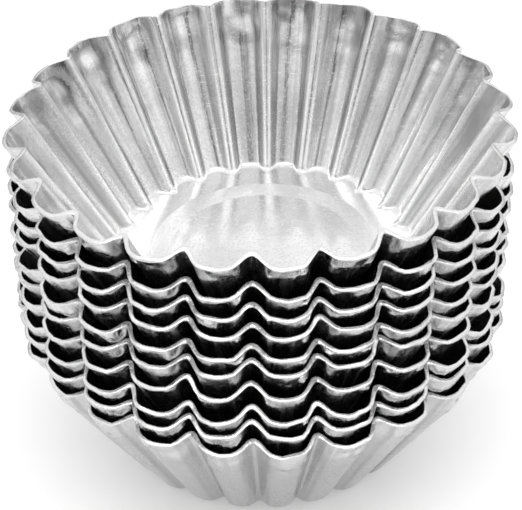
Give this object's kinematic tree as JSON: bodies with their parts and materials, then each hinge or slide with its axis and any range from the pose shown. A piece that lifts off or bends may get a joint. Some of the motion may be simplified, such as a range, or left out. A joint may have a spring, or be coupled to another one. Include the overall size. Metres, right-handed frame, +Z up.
{
  "type": "tart pan",
  "caption": "Stack of nested round fluted tart pans, each pressed from one thin sheet of bright aluminium, with wide lobes, narrow crests and a flat foot.",
  "frame": {"origin": "on the table, at the middle of the bottom pan's foot", "axes": "+Z up, the way the pans lift out of each other; +X to the right and +Y to the back, seen from the front"},
  "size_m": [0.0704, 0.0706, 0.0543],
  "materials": {
    "pressed_aluminium": "bright drawn sheet with fine scratches"
  },
  "bodies": {
    "tart_pan_01": {"tart_pan_01": "pressed_aluminium"},
    "tart_pan_02": {"tart_pan_02": "pressed_aluminium"},
    "tart_pan_03": {"tart_pan_03": "pressed_aluminium"},
    "tart_pan_04": {"tart_pan_04": "pressed_aluminium"},
    "tart_pan_05": {"tart_pan_05": "pressed_aluminium"},
    "tart_pan_06": {"tart_pan_06": "pressed_aluminium"},
    "tart_pan_07": {"tart_pan_07": "pressed_aluminium"},
    "tart_pan_08": {"tart_pan_08": "pressed_aluminium"},
    "tart_pan_09": {"tart_pan_09": "pressed_aluminium"},
    "tart_pan_10": {"tart_pan_10": "pressed_aluminium"}
  },
  "joints": [
    {"name": "lift_02", "type": "slide", "parent": "tart_pan_01", "child": "tart_pan_02", "axis": [0, 0, 1], "range_m": [0, 0.03]},
    {"name": "lift_03", "type": "slide", "parent": "tart_pan_02", "child": "tart_pan_03", "axis": [0, 0, 1], "range_m": [0, 0.03]},
    {"name": "lift_04", "type": "slide", "parent": "tart_pan_03", "child": "tart_pan_04", "axis": [0, 0, 1], "range_m": [0, 0.03]},
    {"name": "lift_05", "type": "slide", "parent": "tart_pan_04", "child": "tart_pan_05", "axis": [0, 0, 1], "range_m": [0, 0.03]},
    {"name": "lift_06", "type": "slide", "parent": "tart_pan_05", "child": "tart_pan_06", "axis": [0, 0, 1], "range_m": [0, 0.03]},
    {"name": "lift_07", "type": "slide", "parent": "tart_pan_06", "child": "tart_pan_07", "axis": [0, 0, 1], "range_m": [0, 0.03]},
    {"name": "lift_08", "type": "slide", "parent": "tart_pan_07", "child": "tart_pan_08", "axis": [0, 0, 1], "range_m": [0, 0.03]},
    {"name": "lift_09", "type": "slide", "parent": "tart_pan_08", "child": "tart_pan_09", "axis": [0, 0, 1], "range_m": [0, 0.03]},
    {"name": "lift_10", "type": "slide", "parent": "tart_pan_09", "child": "tart_pan_10", "axis": [0, 0, 1], "range_m": [0, 0.03]}
  ]
}
